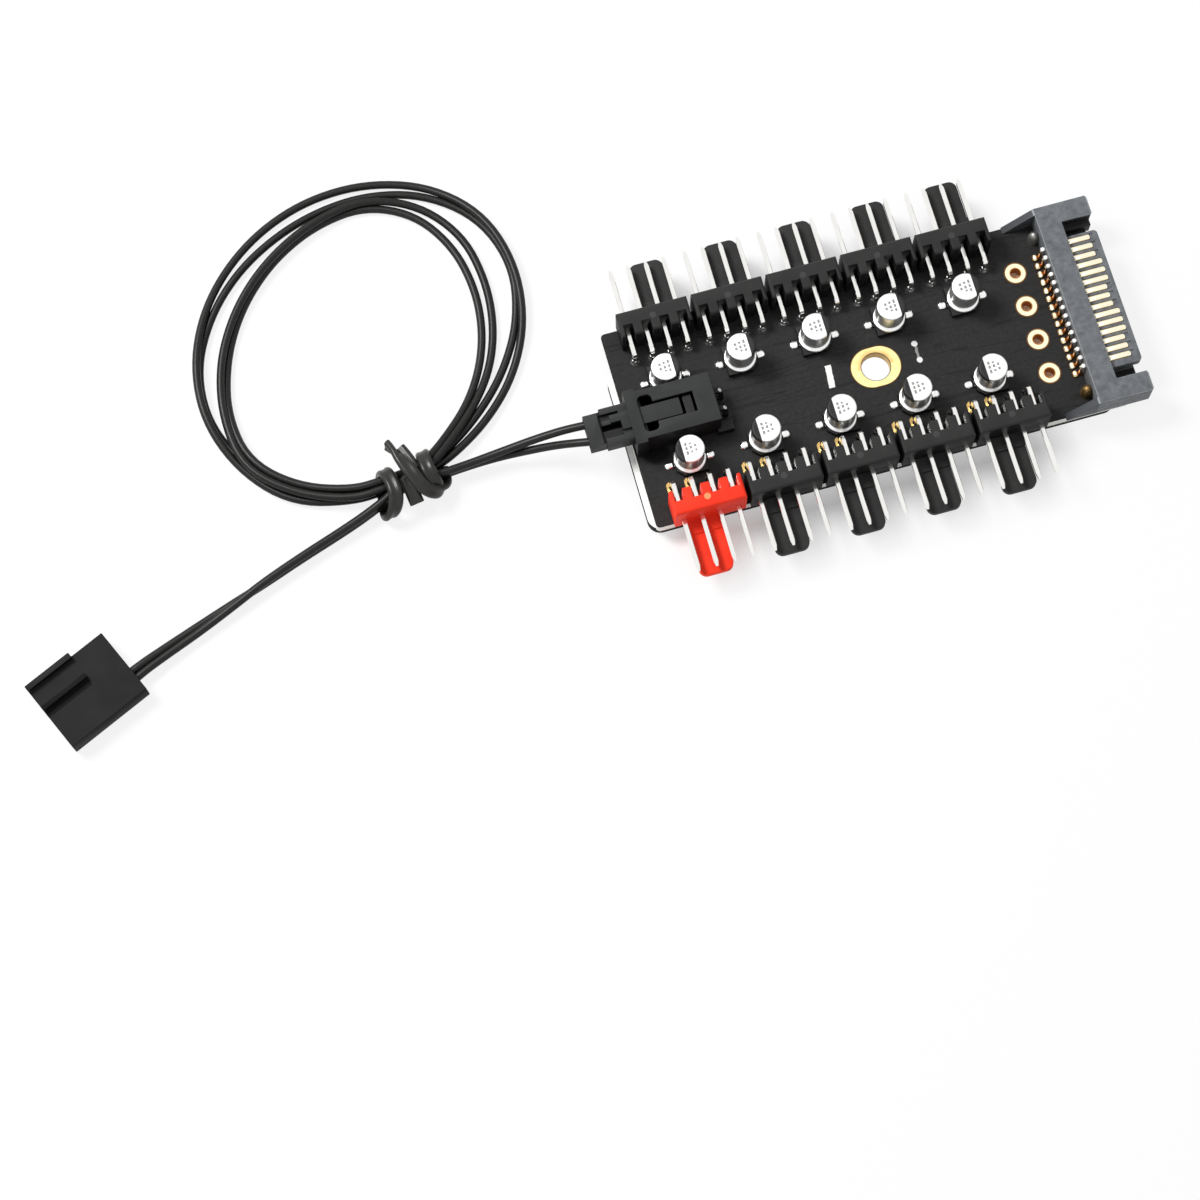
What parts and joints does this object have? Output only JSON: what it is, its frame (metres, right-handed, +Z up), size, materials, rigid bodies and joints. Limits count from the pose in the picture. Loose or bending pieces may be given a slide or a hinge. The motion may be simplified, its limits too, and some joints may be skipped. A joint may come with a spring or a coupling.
{
  "type": "pc fan controller hub",
  "caption": "Flat circuit-board hub with fan pin headers along both long edges, a power inlet at one end and a coiled, tied lead plugged into the other.",
  "frame": {"origin": "centre of the hub's footprint, from the board's lead end to the power inlet's front and across the header tabs, on the foam pad's underside", "axes": "+X along the board from the lead socket to the power inlet, +Y across the board to the back row of headers, +Z up out of the board's component side"},
  "size_m": [0.1573, 0.0697, 0.009],
  "materials": {
    "board_mask": "satin black solder mask over glass laminate",
    "foam": "matte closed-cell foam",
    "gold": "gold flash",
    "header_red": "moulded nylon",
    "header_black": "moulded nylon",
    "pin_metal": "bright tin plate",
    "can_metal": "drawn can",
    "base_black": "moulded",
    "solder": "solder",
    "inlet_grey": "moulded, blue grey",
    "connector_black": "moulded nylon",
    "wire_black": "satin vinyl",
    "tie_black": "glossy vinyl"
  },
  "bodies": {
    "root": {"capacitor_base_01": "base_black", "capacitor_base_02": "base_black", "capacitor_base_03": "base_black", "capacitor_base_04": "base_black", "capacitor_base_05": "base_black", "capacitor_base_06": "base_black", "capacitor_base_07": "base_black", "capacitor_base_08": "base_black", "capacitor_base_09": "base_black", "capacitor_base_10": "base_black", "capacitor_can_01": "can_metal", "capacitor_can_02": "can_metal", "capacitor_can_03": "can_metal", "capacitor_can_04": "can_metal", "capacitor_can_05": "can_metal", "capacitor_can_06": "can_metal", "capacitor_can_07": "can_metal", "capacitor_can_08": "can_metal", "capacitor_can_09": "can_metal", "capacitor_can_10": "can_metal", "capacitor_leads": "solder", "circuit_board": "board_mask", "fan_connector": "connector_black", "fan_connector_terminals": "pin_metal", "fan_header_01": "header_red", "fan_header_02": "header_black", "fan_header_03": "header_black", "fan_header_04": "header_black", "fan_header_05": "header_black", "fan_header_06": "header_black", "fan_header_07": "header_black", "fan_header_08": "header_black", "fan_header_09": "header_black", "fan_header_10": "header_black", "fan_header_pins_01": "pin_metal", "fan_header_pins_02": "pin_metal", "fan_header_pins_03": "pin_metal", "fan_header_pins_04": "pin_metal", "fan_header_pins_05": "pin_metal", "fan_header_pins_06": "pin_metal", "fan_header_pins_07": "pin_metal", "fan_header_pins_08": "pin_metal", "fan_header_pins_09": "pin_metal", "fan_header_pins_10": "pin_metal", "foam_pad": "foam", "gold_lands": "gold", "inlet_contacts": "gold", "inlet_housing": "inlet_grey", "inlet_straps": "pin_metal", "lead_plug": "connector_black", "lead_plug_terminals": "pin_metal", "lead_socket": "connector_black", "lead_socket_pins": "pin_metal", "lead_wire_a": "wire_black", "lead_wire_b": "wire_black", "tail_wire_a": "wire_black", "tail_wire_b": "wire_black", "twist_tie": "tie_black", "wire_coil": "wire_black"}
  },
  "joints": []
}
